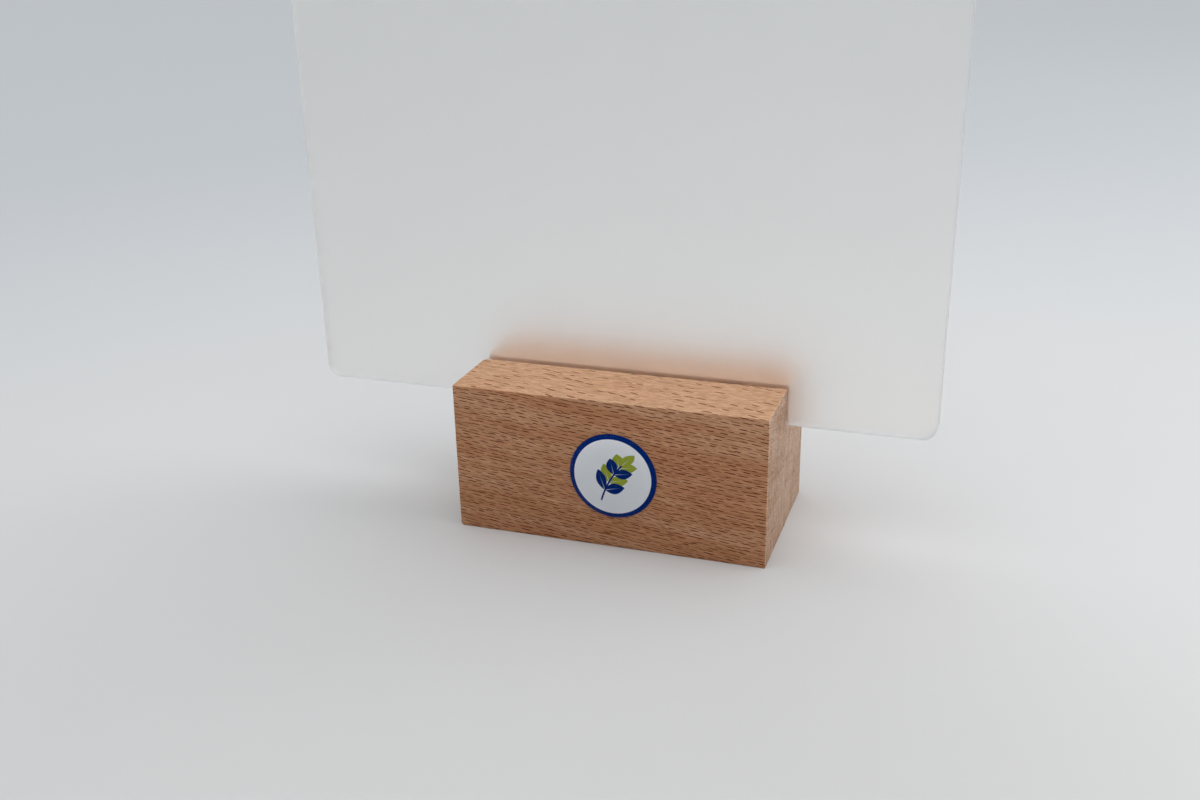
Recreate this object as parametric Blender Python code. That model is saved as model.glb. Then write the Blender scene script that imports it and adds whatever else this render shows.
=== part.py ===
"""Table sign holder: a slotted beech block with a round badge holds a frosted acrylic panel upright.

Metres, +Z up. The origin is in the middle of the block's underside, the block's length runs along X and the
badge faces -Y.
"""

import math

import bmesh
import bpy

# Beech block, one solid piece that stands flat on its underside.
BLOCK_LENGTH = 0.103
BLOCK_DEPTH = 0.0565
BLOCK_HEIGHT = 0.050
BLOCK_EDGE_EASE = 0.0004
BLOCK_EASE_STEPS = 2

# Saw slot along the middle of the block's top, open at both ends.
SLOT_WIDTH = 0.0056
SLOT_DEPTH = 0.0127
SLOT_CUTTER_OVERRUN = 0.010

# Acrylic panel of portrait A4 size, pushed in a little to the left of the block's middle.
PANEL_WIDTH = 0.210
PANEL_HEIGHT = 0.297
PANEL_THICKNESS = 0.005
PANEL_CORNER_RADIUS = 0.005
PANEL_CORNER_STEPS = 10
PANEL_ARRIS = 0.0006
PANEL_SHIFT = -0.007

# Round badge on the block's front: a printed disc under a clear resin dome.
BADGE_RADIUS = 0.0143
BADGE_CENTRE_X = 0.0023
BADGE_CENTRE_Z = 0.0251
BADGE_SIDES = 72
PRINT_THICKNESS = 0.0003
DOME_HEIGHT = 0.0016
DOME_FULLNESS = 5.0
DOME_RINGS = 12

# Room between pieces that touch on the real object.
TOUCH_GAP = 0.0003

SLOT_FLOOR = BLOCK_HEIGHT - SLOT_DEPTH
BLOCK_FRONT = -BLOCK_DEPTH / 2
SHARP_ANGLE = math.radians(35)
WELD_DISTANCE = 1e-6


def clear_scene():
    for old in list(bpy.data.objects):
        bpy.data.objects.remove(old, do_unlink=True)


def principled(name, colour, roughness, transmission=0.0):
    """A material with one Principled BSDF. No piece of this object is metal."""
    material = bpy.data.materials.new(name)
    material.use_nodes = True
    shader = material.node_tree.nodes["Principled BSDF"]
    shader.inputs["Base Color"].default_value = (*colour, 1.0)
    shader.inputs["Roughness"].default_value = roughness
    shader.inputs["Metallic"].default_value = 0.0
    shader.inputs["Transmission Weight"].default_value = transmission
    return material


def new_object(name, shape, material=None):
    """Turns a bmesh into a named object in the scene."""
    mesh = bpy.data.meshes.new(name)
    shape.to_mesh(mesh)
    shape.free()
    if material:
        mesh.materials.append(material)
    made = bpy.data.objects.new(name, mesh)
    bpy.context.scene.collection.objects.link(made)
    return made


def box(width, depth, height):
    """A box that stands on z = 0, centred on the origin in X and Y."""
    shape = bmesh.new()
    bmesh.ops.create_cube(shape, size=1.0)
    bmesh.ops.scale(shape, vec=(width, depth, height), verts=shape.verts)
    bmesh.ops.translate(shape, vec=(0.0, 0.0, height / 2), verts=shape.verts)
    return shape


def ease_edges(made, width, steps):
    """Takes the sharpness off every corner edge of an object."""
    bevel = made.modifiers.new("eased_edges", "BEVEL")
    bevel.width = width
    bevel.segments = steps
    bevel.limit_method = "ANGLE"
    bevel.angle_limit = SHARP_ANGLE


def shade_round(made):
    made.data.shade_smooth()
    made.data.set_sharp_from_angle(angle=SHARP_ANGLE)


def make_slot_cutter():
    """The saw's path: longer than the block and open above its top."""
    shape = box(BLOCK_LENGTH + 2 * SLOT_CUTTER_OVERRUN, SLOT_WIDTH, SLOT_DEPTH + SLOT_CUTTER_OVERRUN)
    cutter = new_object("slot_cutter", shape)
    cutter.location.z = SLOT_FLOOR
    cutter.hide_render = True
    cutter.display_type = "WIRE"
    return cutter


def make_base_block():
    beech = principled("steamed_beech", (0.55, 0.33, 0.21), 0.55)
    block = new_object("base_block", box(BLOCK_LENGTH, BLOCK_DEPTH, BLOCK_HEIGHT), beech)
    ease_edges(block, BLOCK_EDGE_EASE, BLOCK_EASE_STEPS)
    slot = block.modifiers.new("panel_slot", "BOOLEAN")
    slot.operation = "DIFFERENCE"
    slot.solver = "EXACT"
    slot.object = make_slot_cutter()
    return block


def make_sign_panel(block):
    """A flat sheet with rounded corners. Its origin is on the line that it lifts out along."""
    frosted = principled("frosted_acrylic", (0.93, 0.94, 0.95), 0.35, transmission=0.9)
    shape = box(PANEL_WIDTH, PANEL_THICKNESS, PANEL_HEIGHT)
    corners = [edge for edge in shape.edges if edge.verts[0].co.y * edge.verts[1].co.y < 0]
    bmesh.ops.bevel(
        shape,
        geom=corners,
        affect="EDGES",
        offset=PANEL_CORNER_RADIUS,
        segments=PANEL_CORNER_STEPS,
        profile=0.5,
    )
    panel = new_object("sign_panel", shape, frosted)
    panel.parent = block
    panel.location = (PANEL_SHIFT, 0.0, SLOT_FLOOR + TOUCH_GAP)
    ease_edges(panel, PANEL_ARRIS, 1)
    shade_round(panel)
    return panel


def place_on_front(made, block, distance):
    """Turns a disc that stands on z = 0 to face the front, its back this far off the block."""
    made.parent = block
    made.rotation_euler.x = math.pi / 2
    made.location = (BADGE_CENTRE_X, BLOCK_FRONT - distance, BADGE_CENTRE_Z)
    shade_round(made)


def make_badge_print(block):
    vinyl = principled("printed_vinyl", (0.80, 0.82, 0.85), 0.40)
    shape = bmesh.new()
    bmesh.ops.create_cone(
        shape,
        cap_ends=True,
        segments=BADGE_SIDES,
        radius1=BADGE_RADIUS,
        radius2=BADGE_RADIUS,
        depth=PRINT_THICKNESS,
    )
    bmesh.ops.translate(shape, vec=(0.0, 0.0, PRINT_THICKNESS / 2), verts=shape.verts)
    disc = new_object("badge_print", shape, vinyl)
    place_on_front(disc, block, TOUCH_GAP)
    return disc


def dome_profile():
    """Half the section of a poured resin lens: nearly flat in the middle, rolling over at the rim.

    It is a quarter of a superellipse, whose fullness is the power that the radius is raised to.
    """
    points = [(0.0, 0.0)]
    for ring in range(DOME_RINGS + 1):
        turn = math.pi / 2 * ring / DOME_RINGS
        radius = BADGE_RADIUS * math.cos(turn) ** (2 / DOME_FULLNESS)
        points.append((radius, DOME_HEIGHT * math.sin(turn)))
    points[-1] = (0.0, DOME_HEIGHT)
    return points


def make_badge_dome(block):
    resin = principled("clear_resin", (0.95, 0.97, 0.98), 0.05, transmission=1.0)
    shape = bmesh.new()
    section = [shape.verts.new((radius, 0.0, height)) for radius, height in dome_profile()]
    edges = [shape.edges.new(pair) for pair in zip(section, section[1:])]
    bmesh.ops.spin(
        shape,
        geom=section + edges,
        cent=(0.0, 0.0, 0.0),
        axis=(0.0, 0.0, 1.0),
        angle=2 * math.pi,
        steps=BADGE_SIDES,
    )
    bmesh.ops.remove_doubles(shape, verts=shape.verts, dist=WELD_DISTANCE)
    bmesh.ops.recalc_face_normals(shape, faces=shape.faces)
    dome = new_object("badge_dome", shape, resin)
    place_on_front(dome, block, 2 * TOUCH_GAP + PRINT_THICKNESS)
    return dome


clear_scene()
base_block = make_base_block()
make_sign_panel(base_block)
make_badge_print(base_block)
make_badge_dome(base_block)
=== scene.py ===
# %% [markdown]
# # A table sign holder
#
# The object is a block of steamed beech with a saw slot along its top. A sheet of frosted acrylic stands
# in the slot, and a round domed badge is stuck to the block's front. The construction comes in as a fixed
# frame, with one plain solid for each piece. This lesson gives every piece its finished surface, one after
# the other.

import math

import bmesh
import bpy
from mathutils import Matrix, Vector


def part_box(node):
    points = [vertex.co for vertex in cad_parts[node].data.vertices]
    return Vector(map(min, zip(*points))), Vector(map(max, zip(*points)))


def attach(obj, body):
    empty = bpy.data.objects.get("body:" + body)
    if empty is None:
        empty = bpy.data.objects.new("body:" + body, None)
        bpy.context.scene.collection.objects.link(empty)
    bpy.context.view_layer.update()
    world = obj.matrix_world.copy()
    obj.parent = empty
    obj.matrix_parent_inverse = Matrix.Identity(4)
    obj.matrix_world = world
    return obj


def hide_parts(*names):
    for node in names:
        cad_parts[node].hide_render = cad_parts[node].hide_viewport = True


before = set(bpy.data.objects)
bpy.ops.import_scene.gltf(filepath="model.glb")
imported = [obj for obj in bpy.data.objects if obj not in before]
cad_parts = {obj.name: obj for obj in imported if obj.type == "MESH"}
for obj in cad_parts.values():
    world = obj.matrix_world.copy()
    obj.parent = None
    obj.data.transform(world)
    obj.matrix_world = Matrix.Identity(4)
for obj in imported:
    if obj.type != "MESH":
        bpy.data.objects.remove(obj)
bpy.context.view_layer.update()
print("frame nodes:", sorted(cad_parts))

# %% [markdown]
# ## The camera
#
# The photograph was taken from a little to the right and above, close enough that upright edges lean
# together. A camera can be set by eye, but the block's straight edges fix it much better: the place and the
# angles below put every one of them within about two pixels of where the photograph has it. The lens is
# written for Blender's 36 mm wide sensor and an image of 1200 x 800 pixels.

# %% Camera
CAMERA_PLACE = Vector((0.1187, -0.3726, 0.1969))
CAMERA_TURN = math.radians(19.24)
CAMERA_DIP = math.radians(21.88)
CAMERA_ROLL = math.radians(-1.165)
CAMERA_LENS = 38.38
SENSOR_WIDTH = 36.0
CLIP_START = 0.01

camera_data = bpy.data.cameras.new("photo_camera")
camera_data.lens = CAMERA_LENS
camera_data.sensor_width = SENSOR_WIDTH
camera_data.clip_start = CLIP_START
camera = bpy.data.objects.new("photo_camera", camera_data)
bpy.context.scene.collection.objects.link(camera)
aim = Matrix.Rotation(CAMERA_TURN, 4, "Z") @ Matrix.Rotation(math.pi / 2 - CAMERA_DIP, 4, "X")
aim = aim @ Matrix.Rotation(CAMERA_ROLL, 4, "Z")
camera.matrix_world = Matrix.Translation(CAMERA_PLACE) @ aim
bpy.context.scene.camera = camera
print("camera is", round(CAMERA_PLACE.length, 3), "m from the block's foot")

# %% [markdown]
# ## Shader sums as Python
#
# A finish is a tree of nodes, and wiring a long sum of Math nodes by hand hides what it means. The small
# class here wraps one socket, so that `1 - mask` or `a * b + c` adds the Math nodes itself. Every other kind
# of node comes from its one `node` method, which makes the node, sets its options and then fills its sockets.

# %% Socket class
class Flow:
    """One output socket of a node tree, which can be used in sums."""

    def __init__(self, tree, socket=None):
        self.tree = tree
        self.socket = socket

    def node(self, kind, settings=None, inputs=None, output=0):
        made = self.tree.nodes.new("ShaderNode" + kind)
        for name, value in (settings or {}).items():
            setattr(made, name, value)
        for name, value in (inputs or {}).items():
            if isinstance(value, Flow):
                self.tree.links.new(value.socket, made.inputs[name])
            else:
                made.inputs[name].default_value = value
        return Flow(self.tree, made.outputs[output])

    def out(self, name):
        """Another output of the node that this socket belongs to."""
        return Flow(self.tree, self.socket.node.outputs[name])

    def coordinates(self, kind):
        return self.node("TexCoord", output=kind)

    def axes(self):
        """The X, Y and Z of this vector."""
        split = self.node("SeparateXYZ", None, {"Vector": self})
        return split.out("X"), split.out("Y"), split.out("Z")

    def pack(self, x, y, z):
        """Three values as one vector."""
        return self.node("CombineXYZ", None, {"X": x, "Y": y, "Z": z})

    def noise(self, scale, detail, roughness=0.5):
        """Noise about a middle value of 0.5, read at the place that this vector gives."""
        settings = {"Vector": self, "Scale": scale, "Detail": detail, "Roughness": roughness}
        return self.node("TexNoise", None, settings)

    def maths(self, operation, *terms):
        return self.node("Math", {"operation": operation}, dict(enumerate(terms)))

    def vector(self, operation, *terms):
        return self.node("VectorMath", {"operation": operation}, dict(enumerate(terms)))

    def most(self, other):
        """The larger of two values."""
        return self.maths("MAXIMUM", self, other)

    def blend(self, low, high):
        """The colour low where this value is 0, high where it is 1."""
        return self.node("Mix", {"data_type": "RGBA"}, {0: self, 6: low, 7: high}, output=2)

    def between(self, low, high):
        """0 below low and 1 above high, with an eased step between them."""
        limits = {"Value": self, "From Min": low, "From Max": high}
        return self.node("MapRange", {"interpolation_type": "SMOOTHSTEP"}, limits)

    def __add__(self, other):
        return self.maths("ADD", self, other)

    def __sub__(self, other):
        return self.maths("SUBTRACT", self, other)

    def __rsub__(self, other):
        return self.maths("SUBTRACT", other, self)

    def __mul__(self, other):
        return self.maths("MULTIPLY", self, other)

    def __truediv__(self, other):
        return self.maths("DIVIDE", self, other)

    def __abs__(self):
        return self.maths("ABSOLUTE", self)

    __radd__ = __add__
    __rmul__ = __mul__


def new_finish(name):
    """A material with one Principled BSDF, and a Flow that makes nodes in its tree."""
    material = bpy.data.materials.new(name)
    material.use_nodes = True
    return material, Flow(material.node_tree)


def set_surface(material, **sockets):
    """Fills the Principled BSDF's sockets, named with _ for a space, by number, colour or link."""
    shader = material.node_tree.nodes["Principled BSDF"]
    for name, value in sockets.items():
        socket = shader.inputs[name.replace("_", " ")]
        if isinstance(value, Flow):
            material.node_tree.links.new(value.socket, socket)
        else:
            socket.default_value = value


print("socket class ready")

# %% [markdown]
# ## Floor and light
#
# The holder stands on a pale seamless sheet. One very large disc does for every view. Its colour is painted
# darker and greyer with the distance from the holder, a painted falloff of the light, so there is no horizon
# line to hide, and painted darker in front of the holder too, a painted shade on the camera's side. The light
# is a wide soft sky overhead, a weak soft box on the right and a pale surround that is brightest above: the
# block's top is then about twice as bright as its front, and the shadows are soft all round.

# %% Floor
FLOOR_RADIUS = 12.0
FLOOR_SIDES = 128
# near and far floor colours: a painted falloff of the light with distance
FLOOR_NEAR = (0.776, 0.773, 0.772, 1.0)
FLOOR_FAR = (0.582, 0.613, 0.639, 1.0)
FALLOFF_MIDDLE = (0.20, -0.40, 0.0)
FALLOFF_REACH = (0.15, 1.20)
# painted shade on the floor in front of the holder
FLOOR_FRONT_SHADE = (0.653, 0.651, 0.650, 1.0)
FRONT_SHADE_MIDDLE = (0.0, -0.20, 0.0)
FRONT_SHADE_REACH = (0.10, 0.30)
FLOOR_ROUGHNESS = 0.8
FLOOR_GLOSS = 0.2

bpy.ops.object.select_all(action="DESELECT")
bpy.ops.mesh.primitive_circle_add(vertices=FLOOR_SIDES, radius=FLOOR_RADIUS, fill_type="NGON")
floor = bpy.context.object
floor.name = "floor"
paper, flow = new_finish("floor_paper")
spot = flow.coordinates("Object")
# painted falloff of the light with the distance from the holder
far = flow.vector("DISTANCE", spot, FALLOFF_MIDDLE).out("Value").between(*FALLOFF_REACH)
# painted shade in front of the holder, on the camera's side
away = flow.vector("DISTANCE", spot, FRONT_SHADE_MIDDLE).out("Value").between(*FRONT_SHADE_REACH)
tone = far.blend(away.blend(FLOOR_FRONT_SHADE, FLOOR_NEAR), FLOOR_FAR)
set_surface(paper, Base_Color=tone, Roughness=FLOOR_ROUGHNESS, Specular_IOR_Level=FLOOR_GLOSS)
floor.data.materials.append(paper)
print("floor radius", FLOOR_RADIUS, "m")

# %% Lamps
SKYLIGHT_FROM = (0.02, -0.03, 1.0)
SKYLIGHT_SPREAD = math.radians(80)
SKYLIGHT_STRENGTH = 2.00
SIDE_PLACE = (0.95, 0.40, 0.75)
SIDE_SIZE = 0.9
SIDE_WATTS = 3.6


def add_lamp(name, kind, place, energy):
    """A lamp of the given kind that stands at a place and points at the block."""
    light = bpy.data.lights.new(name, kind)
    light.energy = energy
    lamp = bpy.data.objects.new(name, light)
    bpy.context.scene.collection.objects.link(lamp)
    lamp.location = place
    lamp.rotation_euler = (-Vector(place)).to_track_quat("-Z", "Y").to_euler()
    return light


add_lamp("skylight", "SUN", SKYLIGHT_FROM, SKYLIGHT_STRENGTH).angle = SKYLIGHT_SPREAD
add_lamp("side_box", "AREA", SIDE_PLACE, SIDE_WATTS).size = SIDE_SIZE

# %% [markdown]
# The surround does two things. To the camera, and in gloss and glass, it is the floor's far colour, so that
# the floor seems to go on for ever. As a light on the pieces it is much dimmer, and it grows towards the
# zenith.

# %% Surround
SURROUND = (0.95, 0.97, 1.0, 1.0)
SURROUND_LOW = 0.03
SURROUND_RISE = 0.26
SURROUND_FULL_AT = 0.9
BACKDROP_STRENGTH = 0.879

world = bpy.data.worlds.new("surround")
bpy.context.scene.world = world
world.use_nodes = True
surround = Flow(world.node_tree)
path = surround.node("LightPath")
shown = path.out("Is Camera Ray").most(path.out("Is Glossy Ray")).most(path.out("Is Transmission Ray"))
_, _, upward = surround.coordinates("Generated").axes()
glow = SURROUND_LOW + upward.between(0.0, SURROUND_FULL_AT) * SURROUND_RISE
ambient = surround.node("Background", None, {"Color": SURROUND, "Strength": glow})
backdrop = surround.node("Background", None, {"Color": FLOOR_FAR, "Strength": BACKDROP_STRENGTH})
mixed = surround.node("MixShader", None, {0: shown, 1: ambient, 2: backdrop})
world.node_tree.links.new(mixed.socket, world.node_tree.nodes["World Output"].inputs["Surface"])
bpy.context.scene.view_settings.view_transform = "Standard"
print("surround has", len(world.node_tree.nodes), "nodes")

# %% [markdown]
# ## Beech
#
# Steamed beech is a pinkish brown with thousands of short dark dashes. They are rays: thin ribbons of cells
# that run from the tree's heart to its bark, a few millimetres tall along the grain. Where a face cuts them
# square they show as dashes, and where it cuts them at a slant as longer, sparser flecks. So the pattern is
# built as a solid: every point knows how far it is along the grain, how far from the tree's heart, and how
# far round it. The grain is turned a little out of the block's length, as it mostly is in a sawn board.

# %% Directions in the log
MILLIMETRES = 1000.0
GRAIN_SLOPE = math.radians(-7.0)
GRAIN_TURN = math.radians(-7.0)
HEART_BEHIND = 150.0
LOG_RADIUS = 170.0
WANDER_NOISE = (0.03, 0.0)
WANDER_OUT = 5.0
WANDER_ROUND = 2.0


def log_directions(flow):
    """How far each point lies along the grain, out from the log's heart and round it, in millimetres."""
    settings = {
        "Vector": flow.coordinates("Object"),
        "Location": (0.0, -HEART_BEHIND, 0.0),
        "Rotation": (0.0, GRAIN_SLOPE, GRAIN_TURN),
        "Scale": (MILLIMETRES, MILLIMETRES, MILLIMETRES),
    }
    place = flow.node("Mapping", None, settings)
    along, behind, above = place.axes()
    wander = flow.node("SeparateColor", None, {"Color": place.noise(*WANDER_NOISE).out("Color")})
    outward = flow.maths("SQRT", behind * behind + above * above)
    outward = outward + (wander.out("Red") - 0.5) * WANDER_OUT
    around = flow.maths("ARCTAN2", above, 0.0 - behind) * LOG_RADIUS
    around = around + (wander.out("Green") - 0.5) * WANDER_ROUND
    return along, outward, around


print("the log's heart lies", HEART_BEHIND, "mm behind the block's middle")

# %% [markdown]
# A flat Voronoi texture, along the grain and round the heart, scatters one ribbon to each of its cells. As
# the third direction is left out, the ribbons run right through the wood, and each face of the block shows
# the cut that the real piece would. Every row of cells is pushed along a little, or the dashes would stand
# in columns. There are large rays and small ones, and each has a length and a strength of its own.

# %% Rays
LARGE_RAYS = {"spacing": (3.9, 1.08), "half": (1.95, 0.180), "seed": 0.0}
SMALL_RAYS = {"spacing": (2.6, 0.90), "half": (1.20, 0.12), "seed": 37.3}
ROW_SHIFT = 0.37
RAY_SCATTER = 0.62
SHORTEST_RAY = 0.60
LENGTH_VARIES = 0.55
RAY_BLUNTNESS = 0.6
WEAKEST_RAY = 0.52


def ray_flecks(flow, grain, kind, shrink):
    """How far inside a ray a point is, 1 in its middle and below 0 outside it, and the ray's strength."""
    along, _, around = grain
    tall, wide = kind["spacing"]
    half_tall, half_wide = kind["half"]
    row = around / wide
    cell = flow.pack(along / tall + row * ROW_SHIFT + kind["seed"], row, 0.0)
    scatter = {"Vector": cell, "Scale": 1.0, "Randomness": RAY_SCATTER}
    points = flow.node("TexVoronoi", {"voronoi_dimensions": "2D"}, scatter)
    lot = flow.node("SeparateColor", None, {"Color": points.out("Color")})
    ahead, aside, _ = flow.vector("SUBTRACT", cell, points.out("Position")).axes()
    length = SHORTEST_RAY + lot.out("Red") * LENGTH_VARIES
    lengthways = (ahead - aside * ROW_SHIFT) * (tall / half_tall) / length
    across = abs(aside) * shrink * (wide / half_wide)
    taper = lengthways * lengthways
    inside = 1.0 - taper * (1.0 - RAY_BLUNTNESS + taper * RAY_BLUNTNESS) - across
    return inside, WEAKEST_RAY + lot.out("Green") * (1.0 - WEAKEST_RAY)


for name, kind in (("large", LARGE_RAYS), ("small", SMALL_RAYS)):
    print(name, "rays to a square centimetre:", round(100 / math.prod(kind["spacing"])))

# %% [markdown]
# The wood doesn't look the same on every face. The saw cut the ends across the grain, so there the wood is
# greyer and the rays fade, while the rings stand out as fine upright lines. The ends' pale grey is partly
# painted sheen. The top is painted paler, a painted light that makes it brighter than the upright faces,
# and its flecks are sparser and redder. The eased corners and the slot's walls are fresh and pale, and
# partly painted light: a painted highlight on the corners, and painted light that lifts the shade in the
# slot. One set of masks, from the way that each face points and from its place, tells these apart. A second
# helper picks a share by them, and a third makes the noise that the wood's finer details are drawn with.

# %% Faces of the block
FACE_LIMITS = (0.6, 0.9)
CORNER_LIMITS = (0.75, 0.95)
SLOT_HALF = 0.0028
SLOT_FLOOR = 0.0373
WALL_BLUR = 0.0002
FLOOR_BLUR = 0.001
GRAIN_ROUGHNESS = 0.6


def block_faces(flow):
    """Masks of the ends, the top and underside, the eased corners and the slot's walls."""
    x, y, z = (abs(part) for part in flow.coordinates("Normal").axes())
    end = x.between(*FACE_LIMITS)
    flat = z.between(*FACE_LIMITS)
    corner = 1.0 - x.most(y).most(z).between(*CORNER_LIMITS)
    _, depth, height = flow.coordinates("Object").axes()
    slot = (1.0 - abs(depth).between(SLOT_HALF, SLOT_HALF + WALL_BLUR)) * (1.0 - end)
    slot = slot * height.between(SLOT_FLOOR - FLOOR_BLUR, SLOT_FLOOR)
    return end, flat, corner, slot


def by_face(flat, share):
    """A share that has one value on the upright faces and another on the top."""
    upright, top = share
    return upright + flat * (top - upright)


def grain_noise(flow, grain, scales, detail):
    """Noise stretched by its own scale in each of the log's directions."""
    vector = flow.pack(*(direction * scale for direction, scale in zip(grain, scales)))
    return vector.noise(1.0, detail, GRAIN_ROUGHNESS)


print("slot:", round(2 * SLOT_HALF * MILLIMETRES, 1), "mm wide, floor at", round(SLOT_FLOOR * MILLIMETRES, 1))

# %% [markdown]
# On the top only the strongest large rays are kept, and a little thinner. The small rays are weaker than the
# large ones everywhere. Right beside a large ray a pale band is painted, a painted highlight along its edge.

# %% Rays on each face
TOP_THINNER = 0.25
TOP_KEEPS = (0.70, 0.80)
LARGE_EDGE = 0.22
SMALL_EDGE = 0.50
SMALL_SHARE = (0.42, 0.22)
# where the painted highlight beside each large ray lies
RAY_GLINT_OUTSIDE = (-1.6, -0.3)
RAY_GLINT_INSIDE = (-0.3, 0.1)


def ray_pattern(flow, grain, end, flat):
    """How dark the rays make each point, and the painted highlight beside them."""
    shrink = 1.0 + flat * TOP_THINNER
    large, strength = ray_flecks(flow, grain, LARGE_RAYS, shrink)
    small, weakness = ray_flecks(flow, grain, SMALL_RAYS, shrink)
    sparse = 1.0 - flat * (1.0 - strength.between(*TOP_KEEPS))
    rays = large.between(0.0, LARGE_EDGE) * strength * sparse
    rays = rays.most(small.between(0.0, SMALL_EDGE) * weakness * by_face(flat, SMALL_SHARE))
    # painted highlight: a pale band beside each large ray
    ray_glint = large.between(*RAY_GLINT_OUTSIDE) * (1.0 - large.between(*RAY_GLINT_INSIDE)) * (1.0 - end)
    return rays, ray_glint


print("small rays keep", round(SMALL_SHARE[1] / SMALL_SHARE[0], 2), "of their depth on the top")

# %% [markdown]
# The ground between the rays is quieter: pale early wood and darker late wood in each year's ring, broad
# patches that lean to red or to grey, fine fibres and finer hairs. Bright fibres differ from dark ones more
# in blue than in red, so a streak changes the three colours by unequal shares. A noise is given by its scales
# along the grain, outwards and round the heart, and by its detail. Of a pair of shares, the first is for the
# upright faces and the second for the top.

# %% Ground of the wood
RING_WIDTH = 2.7
RED_WOOD = (0.616, 0.299, 0.155, 1.0)
GREY_WOOD = (0.596, 0.316, 0.176, 1.0)
LATE_WOOD = (0.485, 0.210, 0.089, 1.0)
# painted light: the top is painted paler than the upright faces
TOP_LIGHT_WOOD = (0.660, 0.403, 0.248, 1.0)
# the end grain's own greyer colour, and partly a painted sheen
END_WOOD_AND_SHEEN = (0.652, 0.454, 0.332, 1.0)
LATE_SHARE = (0.25, 0.55)
TOP_LIGHT_SHARE = 0.65
END_AND_SHEEN_SHARE = 0.8
PATCH_NOISE = ((0.012, 0.03, 0.17), 2.0)
PATCH_LIMITS = (0.36, 0.64)
PATCH_STREAK = 0.16
HAIR_NOISE = ((0.10, 1.5, 2.4), 2.0)
HAIR_STREAK = (0.70, 0.95)
FIBRE_STREAK = (0.75, 0.50)
# how much the painted highlight beside the rays lightens the wood
RAY_GLINT_STREAK = 0.10
LINE_NOISE = ((0.30, 1.1, 0.06), 4.0)
LINE_STREAK = 1.20
RING_STREAK = 0.25
# fresh sawn wood in the slot, and partly painted light that lifts the shade in the slot
SLOT_PALE_AND_LIGHT = 0.45
# fresh sanded wood on the corners, and partly a painted highlight along them
CORNER_PALE_AND_HIGHLIGHT = 0.40
PALER_GREEN = 1.4
PALER_BLUE = 1.75


def wood_ground(flow, grain, faces, fibre, ray_glint):
    """The colour of the wood between its rays."""
    end, flat, corner, slot = faces
    ring = flow.maths("FRACT", grain[1] / RING_WIDTH)
    late = ring * ring * ring
    patch = grain_noise(flow, grain, *PATCH_NOISE).between(*PATCH_LIMITS)
    hair = grain_noise(flow, grain, *HAIR_NOISE)
    lines = grain_noise(flow, grain, *LINE_NOISE)
    ground = patch.blend(RED_WOOD, GREY_WOOD)
    ground = (late * by_face(flat, LATE_SHARE)).blend(ground, LATE_WOOD)
    # painted light: the top is painted paler, so it looks brighter than the front
    ground = (flat * TOP_LIGHT_SHARE).blend(ground, TOP_LIGHT_WOOD)
    # end grain colour, partly painted sheen for the gloss the ends show at a glancing view
    ground = (end * END_AND_SHEEN_SHARE).blend(ground, END_WOOD_AND_SHEEN)
    streak = (fibre - 0.5) * by_face(flat, FIBRE_STREAK) + (hair - 0.5) * by_face(flat, HAIR_STREAK)
    # the painted highlight beside the large rays
    streak = streak + ray_glint * RAY_GLINT_STREAK + (patch - 0.5) * (1.0 - flat) * PATCH_STREAK
    streak = streak + end * ((lines - 0.5) * LINE_STREAK - late * RING_STREAK)
    # slot walls and corners: fresh pale wood, partly painted light in the slot and a painted highlight on the
    # corners
    streak = streak + slot * SLOT_PALE_AND_LIGHT + corner * CORNER_PALE_AND_HIGHLIGHT
    paler = flow.pack(1.0 + streak, 1.0 + streak * PALER_GREEN, 1.0 + streak * PALER_BLUE)
    return flow.vector("MULTIPLY", ground, paler)


print("year rings are", RING_WIDTH, "mm wide")

# %% [markdown]
# Last, the rays are laid over the ground. They are cut a hair deeper than the fibres and are a little
# glossier, which a Bump node and the roughness show where light glances along a face.

# %% Beech finish
RAY_BROWN = (0.125, 0.012, 0.001, 1.0)
RAY_RED = (0.230, 0.060, 0.010, 1.0)
RAY_DEPTH = (0.95, 0.83)
RAY_FADES_ON_END = 0.70
FIBRE_NOISE = ((0.04, 0.3, 1.4), 4.0)
FIBRE_RELIEF = 0.35
RAY_RELIEF = 0.8
RELIEF_STRENGTH = 0.25
RELIEF_DEPTH = 0.0002
WOOD_ROUGHNESS = 0.46
FIBRE_ROUGHNESS = 0.12
RAY_SMOOTHNESS = 0.08
WOOD_GLOSS = 0.08


def beech_finish():
    material, flow = new_finish("steamed_beech")
    grain = log_directions(flow)
    faces = block_faces(flow)
    end, flat = faces[:2]
    fibre = grain_noise(flow, grain, *FIBRE_NOISE)
    rays, ray_glint = ray_pattern(flow, grain, end, flat)
    ground = wood_ground(flow, grain, faces, fibre, ray_glint)
    depth = by_face(flat, RAY_DEPTH) - end * RAY_FADES_ON_END
    colour = (rays * depth).blend(ground, flat.blend(RAY_BROWN, RAY_RED))
    relief = fibre * FIBRE_RELIEF - rays * RAY_RELIEF
    settings = {"Height": relief, "Strength": RELIEF_STRENGTH, "Distance": RELIEF_DEPTH}
    bump = flow.node("Bump", None, settings)
    roughness = WOOD_ROUGHNESS + fibre * FIBRE_ROUGHNESS - rays * RAY_SMOOTHNESS
    set_surface(material, Base_Color=colour, Roughness=roughness, Normal=bump)
    set_surface(material, Specular_IOR_Level=WOOD_GLOSS)
    return material


beech = beech_finish()
print("beech finish has", len(beech.node_tree.nodes), "nodes")

# %% [markdown]
# ## The block
#
# One piece of beech was planed to size and run over a saw, which cut the slot. Cutting with a Boolean would
# work, but a cleaner mesh comes from building the shape upwards: a slab as high as the slot's floor, cut
# along the slot's two walls, whose front and rear strips are then extruded up as the two cheeks. The long
# edges get cross cuts, because the eased corners have to follow small nicks later.

# %% Block shape
CROSS_CUTS = 72
UPWARD = 0.9


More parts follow.
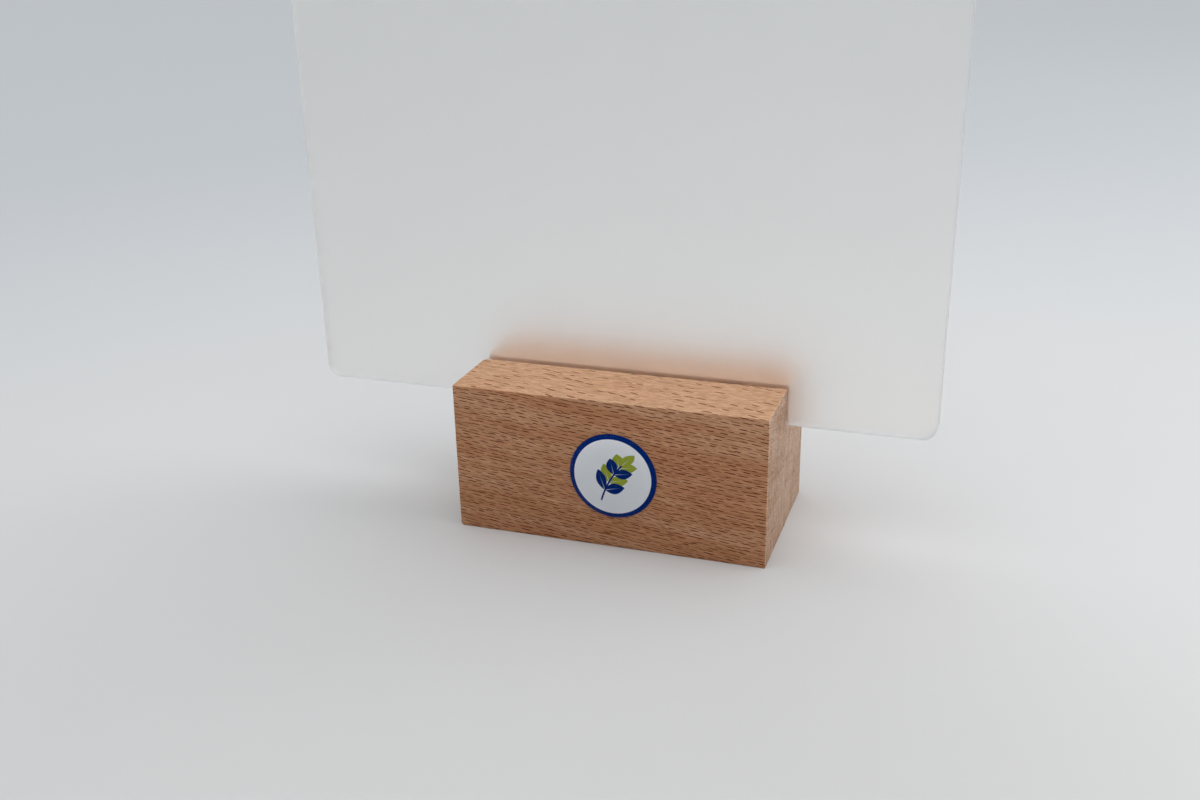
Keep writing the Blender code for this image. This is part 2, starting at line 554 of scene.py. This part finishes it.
def start_box(name, low, high):
    """Adds a cube primitive stretched between two corners, with its place in its mesh."""
    bpy.ops.object.select_all(action="DESELECT")
    bpy.ops.mesh.primitive_cube_add(size=1.0, location=(low + high) / 2, scale=high - low)
    bpy.ops.object.transform_apply(location=True, rotation=True, scale=True)
    made = bpy.context.object
    made.name = name
    return made


def pick(piece, kind, test):
    """In edit mode, selects just the faces or edges that pass the test, and returns how many."""
    modes = {"edges": "EDGE", "faces": "FACE"}
    bpy.ops.mesh.select_mode(type=modes[kind])
    bpy.ops.mesh.select_all(action="DESELECT")
    mesh = bmesh.from_edit_mesh(piece.data)
    mesh.normal_update()
    chosen = [part for part in getattr(mesh, kind) if test(part)]
    for part in chosen:
        part.select_set(True)
    mesh.select_flush_mode()
    bmesh.update_edit_mesh(piece.data)
    return len(chosen)


def is_cheek(face):
    return face.normal.z > UPWARD and abs(face.calc_center_median().y) > SLOT_HALF


def is_lengthways(edge):
    return abs(edge.verts[0].co.x - edge.verts[1].co.x) > block_length / 2


block_low, block_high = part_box("base_block")
block_length = block_high.x - block_low.x
block = start_box("beech_block", block_low, Vector((block_high.x, block_high.y, SLOT_FLOOR)))
bpy.ops.object.mode_set(mode="EDIT")
for wall in (-SLOT_HALF, SLOT_HALF):
    bpy.ops.mesh.select_all(action="SELECT")
    bpy.ops.mesh.bisect(plane_co=(0.0, wall, 0.0), plane_no=(0.0, 1.0, 0.0))
cheeks = pick(block, "faces", is_cheek)
rise = block_high.z - SLOT_FLOOR
bpy.ops.mesh.extrude_region_move(TRANSFORM_OT_translate={"value": (0.0, 0.0, rise)})
long_edges = pick(block, "edges", is_lengthways)
bpy.ops.mesh.subdivide(number_cuts=CROSS_CUTS)
print("block:", cheeks, "cheeks raised,", long_edges, "long edges cut across")

# %% [markdown]
# Sandpaper has eased every outer edge, by less than half a millimetre, and here and there a ray has torn out
# and left a nick. The left end has been knocked, so its foot and its slot are rounder. The bevels go on the
# outer edges alone, and the slot's floor keeps its sharp saw corners. The faces that a bevel makes stay
# selected, so they become a vertex group at once, and a Displace modifier then sinks that group a little, by
# a cloudy pattern. The cross cuts are spaced wider than the rounder corners, because a bevel that runs past a
# cut folds over it.

# %% Block edges
EASE = 0.0004
EASE_STEPS = 3
CORNER_ROUND = 0.0012
CORNER_STEPS = 5
NICK_DEPTH = 0.00012
NICK_LENGTH = 0.0022
SHARP = math.radians(40)
NEARLY = EASE / 4


def is_square(edge):
    return edge.is_convex and edge.calc_face_angle(0.0) > SHARP


def at_slot(edge):
    return all(abs(abs(v.co.y) - SLOT_HALF) < NEARLY for v in edge.verts)


def at_left(edge):
    return all(v.co.x < block_low.x + NEARLY for v in edge.verts)


def at_foot(edge):
    return all(v.co.z < NEARLY for v in edge.verts)


knocked = pick(block, "edges", lambda e: is_square(e) and at_left(e) and (at_slot(e) or at_foot(e)))
bpy.ops.mesh.bevel(offset=CORNER_ROUND, segments=CORNER_STEPS, affect="EDGES")
corners = pick(block, "edges", lambda e: is_square(e) and not at_slot(e))
bpy.ops.mesh.bevel(offset=EASE, segments=EASE_STEPS, affect="EDGES")
worn = block.vertex_groups.new(name="worn_edges")
bpy.ops.object.vertex_group_assign()
bpy.ops.object.mode_set(mode="OBJECT")
print("block:", knocked, "knocked edges rounded,", corners, "corner edges eased")

# %% Block nicks
clouds = bpy.data.textures.new("edge_nicks", "CLOUDS")
clouds.noise_scale = NICK_LENGTH
nicks = block.modifiers.new("nicks", "DISPLACE")
nicks.texture = clouds
nicks.texture_coords = "LOCAL"
nicks.vertex_group = worn.name
nicks.strength = NICK_DEPTH
nicks.mid_level = 1.0
bpy.ops.object.modifier_apply(modifier=nicks.name)
bpy.ops.object.shade_smooth_by_angle(angle=SHARP)
block.data.materials.append(beech)
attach(block, "base")
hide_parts("base_block")
print("block:", len(block.data.polygons), "faces")

# %% [markdown]
# ## Frosted acrylic
#
# The sheet is acrylic with a satin surface on both sides: things that touch it from behind keep an edge, and
# a finger's breadth further back they melt into a blur. That is what rough glass does in Cycles, so the
# finish is a fully transmitting Principled shader with acrylic's refraction. The rear face is rougher than
# the front one, and a point's own place tells the two apart. The sawn edges scatter light as well as passing
# it, so they get a second finish of the same kind that is partly opaque.

# %% Acrylic finish
ACRYLIC_IOR = 1.49
FRONT_ROUGHNESS = 0.35
REAR_ROUGHNESS = 0.78
EDGE_ROUGHNESS = 0.34
SHEET_LIMITS = (0.4, 0.8)
SHEET_MIDDLE = (-0.001, 0.001)
CLOUD_NOISE = (45.0, 4.0)
CLOUD_ROUGHNESS = 0.05
GRIT_NOISE = (2600.0, 1.0)
GRIT_ROUGHNESS = 0.04
SATIN_TINTS = ((0.975, 0.960, 0.940, 1.0), (0.995, 0.980, 0.960, 1.0))
SAWN_TINTS = ((0.93, 0.93, 0.93, 1.0), (0.97, 0.97, 0.97, 1.0))
SAWN_CLEARNESS = 0.88


def acrylic_finish(name, clearness, tints):
    material, flow = new_finish(name)
    place = flow.coordinates("Object")
    _, facing, _ = flow.coordinates("Normal").axes()
    _, depth, _ = place.axes()
    face = abs(facing).between(*SHEET_LIMITS)
    rear = face * depth.between(*SHEET_MIDDLE)
    front = face - rear
    frost = rear * (REAR_ROUGHNESS - EDGE_ROUGHNESS) + front * (FRONT_ROUGHNESS - EDGE_ROUGHNESS)
    cloud = place.noise(*CLOUD_NOISE)
    grit = place.noise(*GRIT_NOISE)
    roughness = EDGE_ROUGHNESS + frost + (cloud - 0.5) * CLOUD_ROUGHNESS + (grit - 0.5) * GRIT_ROUGHNESS
    set_surface(material, Base_Color=cloud.blend(*tints), Roughness=roughness)
    set_surface(material, Transmission_Weight=clearness, IOR=ACRYLIC_IOR)
    return material


acrylic = acrylic_finish("satin_acrylic", 1.0, SATIN_TINTS)
sawn = acrylic_finish("sawn_acrylic", SAWN_CLEARNESS, SAWN_TINTS)
print("acrylic finish has", len(acrylic.node_tree.nodes), "nodes")

# %% [markdown]
# ## The panel
#
# The sheet was cut with rounded corners and its edges were scraped, which leaves a fine rounded line where
# the faces meet the edge. A box gets its four short edges rounded first, then a very small bevel all round
# the two faces. The faces themselves stay flat shaded: on clear material the slightest bend in the shading
# would show.

# %% Panel
PANEL_CORNER = 0.005
PANEL_CORNER_STEPS = 20
PANEL_ARRIS = 0.0006
PANEL_ARRIS_STEPS = 3
FLAT_FACE = 0.999

panel_low, panel_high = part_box("sign_panel")
panel_thickness = panel_high.y - panel_low.y
panel = start_box("acrylic_panel", panel_low, panel_high)
bpy.ops.object.mode_set(mode="EDIT")
pick(panel, "edges", lambda e: abs(e.verts[0].co.y - e.verts[1].co.y) > panel_thickness / 2)
bpy.ops.mesh.bevel(offset=PANEL_CORNER, segments=PANEL_CORNER_STEPS, affect="EDGES")
rim = pick(panel, "edges", lambda e: e.calc_face_angle(0.0) > SHARP)
bpy.ops.mesh.bevel(offset=PANEL_ARRIS, segments=PANEL_ARRIS_STEPS, affect="EDGES")
bpy.ops.object.mode_set(mode="OBJECT")
bpy.ops.object.shade_smooth_by_angle(angle=SHARP)
for polygon in panel.data.polygons:
    polygon.use_smooth = abs(polygon.normal.y) < FLAT_FACE
    polygon.material_index = int(polygon.use_smooth)
panel.data.materials.append(acrylic)
panel.data.materials.append(sawn)
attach(panel, "panel")
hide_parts("sign_panel")
print("panel:", rim, "rim edges scraped,", len(panel.data.polygons), "faces")

# %% [markdown]
# ## The badge's print
#
# The badge is a printed vinyl disc under a drop of clear resin. The print here is a plain sprig of leaves
# inside a navy border. It could be an image, but shapes from sums stay sharp at any distance: each leaf is
# the set of points that lie closer to its midrib than a curve allows, and the midrib itself is left white.

# %% Leaf
PRINT_EDGE = 0.06
MIDRIB_HALF = 0.02
MIDRIB_TAPER = 0.14


def inked(value):
    """1 where a value is above 0, 0 where it is below, with a printed edge between them."""
    return value.between(-PRINT_EDGE, PRINT_EDGE)


def leaf(along, across, angle, length, width):
    """1 inside a leaf that grows from the origin at an angle to the stem, 0 outside and on its midrib."""
    down = along * math.cos(angle) + across * math.sin(angle)
    aside = abs(across * math.cos(angle) - along * math.sin(angle))
    share = down / length
    body = inked(share * (1.0 - share) * (4.0 * width) - aside)
    return body * (aside + share * MIDRIB_TAPER - MIDRIB_HALF).between(0.0, PRINT_EDGE * 2)


print("printed edges are", 2 * PRINT_EDGE, "mm soft")

# %% [markdown]
# The sprig is symmetrical about its stem, so the distance from the stem, without its sign, draws both leaves
# of a pair at once. The pairs are navy and green by turns and get shorter towards the tip. All measures are
# in millimetres from the badge's middle.

# %% Print finish
BADGE_WHITE = (0.945, 0.965, 0.995, 1.0)
PRINT_NAVY = (0.001, 0.025, 0.190, 1.0)
PRINT_GREEN = (0.360, 0.420, 0.045, 1.0)
SPECKLE_GREY = (0.6, 0.62, 0.66, 1.0)
SPECKLE_NOISE = (3000.0, 2.0)
SPECKLE_SHARE = 0.06
PRINT_ROUGHNESS = 0.34
SPECKLE_ROUGHNESS = 0.08
BORDER_FROM = 12.6
SPRIG_LEAN = math.radians(32)
STEM_BEND = 0.016
STEM_HALF = 0.30
STEM_FOOT = -9.2
STEM_TIP = 5.2
LEAF_STEPS = (-5.4, -2.2, 1.0, 4.0)
LEAF_ANGLE = math.radians(47)
LEAF_LENGTH = 7.0
LEAF_WIDTH = 1.75
LEAF_SHORTENS = 0.08
TIP_LEAF_LENGTH = LEAF_LENGTH * 0.8
TIP_LEAF_WIDTH = LEAF_WIDTH * 0.9

print_low, print_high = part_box("badge_print")
badge_middle = (print_low + print_high) / 2


def print_finish():
    material, flow = new_finish("badge_ink")
    place = flow.coordinates("Object")
    settings = {
        "Vector": place,
        "Location": -badge_middle * MILLIMETRES,
        "Scale": (MILLIMETRES, MILLIMETRES, MILLIMETRES),
    }
    right, _, up = flow.node("Mapping", None, settings).axes()
    reach = flow.maths("SQRT", right * right + up * up)
    along = up * math.cos(SPRIG_LEAN) + right * math.sin(SPRIG_LEAN)
    across = right * math.cos(SPRIG_LEAN) - up * math.sin(SPRIG_LEAN) - along * along * STEM_BEND
    side = abs(across)

    stem = inked(STEM_HALF - side) * (along - STEM_FOOT).between(0.0, PRINT_EDGE)
    stem = stem * (STEM_TIP - along).between(0.0, PRINT_EDGE)
    navy = inked(reach - BORDER_FROM).most(stem)
    green = leaf(along - STEM_TIP, side, 0.0, TIP_LEAF_LENGTH, TIP_LEAF_WIDTH)
    for number, step in enumerate(LEAF_STEPS):
        length = LEAF_LENGTH * (1.0 - LEAF_SHORTENS * number)
        pair = leaf(along - step, side, LEAF_ANGLE, length, LEAF_WIDTH)
        if number % 2:
            green = green.most(pair)
        else:
            navy = navy.most(pair)

    speckle = place.noise(*SPECKLE_NOISE)
    colour = (speckle * SPECKLE_SHARE).blend(BADGE_WHITE, SPECKLE_GREY)
    colour = navy.blend(green.blend(colour, PRINT_GREEN), PRINT_NAVY)
    roughness = PRINT_ROUGHNESS + speckle * SPECKLE_ROUGHNESS
    set_surface(material, Base_Color=colour, Roughness=roughness, Specular_IOR_Level=0.0)
    return material


printed = print_finish()
print("print finish has", len(printed.node_tree.nodes), "nodes")

# %% [markdown]
# The disc is die cut from thin vinyl and lies flat on the wood. A cylinder turned to face the front gives it,
# and the die's slightly rounded cut is a small bevel on its front rim.

# %% Print disc
VINYL = 0.00025
DIE_ROUND = 0.00006
DIE_STEPS = 2
BADGE_SIDES = 128
FACING_FRONT = (math.pi / 2, 0.0, 0.0)

badge_radius = (print_high.x - print_low.x) / 2
wood_face = block_low.y
bpy.ops.object.select_all(action="DESELECT")
bpy.ops.mesh.primitive_cylinder_add(
    vertices=BADGE_SIDES,
    radius=badge_radius,
    depth=VINYL,
    location=(badge_middle.x, wood_face - VINYL / 2, badge_middle.z),
    rotation=FACING_FRONT,
)
bpy.ops.object.transform_apply(location=True, rotation=True, scale=True)
disc = bpy.context.object
disc.name = "badge_disc"
bpy.ops.object.mode_set(mode="EDIT")
pick(disc, "edges", lambda e: all(v.co.y < wood_face - VINYL / 2 for v in e.verts))
bpy.ops.mesh.bevel(offset=DIE_ROUND, segments=DIE_STEPS, affect="EDGES")
bpy.ops.object.mode_set(mode="OBJECT")
bpy.ops.object.shade_smooth_by_angle(angle=SHARP)
disc.data.materials.append(printed)
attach(disc, "base")
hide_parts("badge_print")
print("print disc is", round(badge_radius * 2 * MILLIMETRES, 1), "mm across")

# %% [markdown]
# ## The badge's resin dome
#
# Resin is poured on the disc and stops at its rim by surface tension, so it stands steep at the rim and
# almost flat in the middle. Half of the section could be drawn and spun, but raising a disc ring by ring is
# easier to follow: each ring is an extrude and a shrink, and the heights come from the curve of such a drop.
# Its underside lies a hair's breadth inside the print, so no air is left between the two and the colours stay
# deep.

# %% Dome
DOME_RINGS = 18
DOME_FULLNESS = 5.0
DOME_SINK = 0.00002
DOME_MARGIN = 0.0001

dome_low, dome_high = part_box("badge_dome")
dome_height = dome_high.y - dome_low.y
dome_back = Vector((badge_middle.x, wood_face - VINYL + DOME_SINK, badge_middle.z))
bpy.ops.object.select_all(action="DESELECT")
bpy.ops.mesh.primitive_circle_add(
    vertices=BADGE_SIDES,
    radius=badge_radius - DOME_MARGIN,
    fill_type="NGON",
    location=dome_back,
    rotation=FACING_FRONT,
)
bpy.ops.object.transform_apply(location=True, rotation=True, scale=True)
dome = bpy.context.object
dome.name = "badge_dome_lens"
bpy.ops.object.mode_set(mode="EDIT")
bpy.ops.mesh.select_all(action="SELECT")
share = 1.0
height = 0.0
for ring in range(1, DOME_RINGS):
    new_share = 1.0 - (ring / DOME_RINGS) ** 2
    new_height = dome_height * math.sqrt(1.0 - new_share ** DOME_FULLNESS)
    bpy.ops.mesh.extrude_region_move(TRANSFORM_OT_translate={"value": (0.0, height - new_height, 0.0)})
    smaller = new_share / share
    bpy.ops.transform.resize(value=(smaller, 1.0, smaller), center_override=dome_back)
    share = new_share
    height = new_height
bpy.ops.mesh.select_all(action="SELECT")
bpy.ops.mesh.normals_make_consistent(inside=False)
bpy.ops.object.mode_set(mode="OBJECT")
bpy.ops.object.shade_smooth_by_angle(angle=SHARP)
print("dome stands", round(height * MILLIMETRES, 2), "mm proud on", len(dome.data.polygons), "faces")

# %% [markdown]
# Cured resin is clear glass to a renderer. Its gloss changes a little over the surface, by the faint dulling
# that handling leaves. Light that the print scatters sideways is trapped under a dome, which greys the print,
# so the refraction is set a little weaker than that of real resin, and so is the mirror image of the pale
# floor.

# %% Resin finish
RESIN_IOR = 1.30
RESIN_SHEEN = (0.15, 0.15, 0.15, 1.0)
RESIN_TINTS = ((0.97, 0.98, 0.985, 1.0), (1.0, 1.0, 1.0, 1.0))
RESIN_ROUGHNESS = 0.02
DULLING_NOISE = (260.0, 3.0)
DULLING_ROUGHNESS = 0.05


def resin_finish():
    material, flow = new_finish("poured_resin")
    dulling = flow.coordinates("Object").noise(*DULLING_NOISE)
    roughness = RESIN_ROUGHNESS + dulling * DULLING_ROUGHNESS
    set_surface(material, Base_Color=dulling.blend(*RESIN_TINTS), Roughness=roughness)
    set_surface(material, Transmission_Weight=1.0, IOR=RESIN_IOR, Specular_Tint=RESIN_SHEEN)
    return material


dome.data.materials.append(resin_finish())
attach(dome, "base")
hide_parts("badge_dome")
print("dome wears", dome.active_material.name)
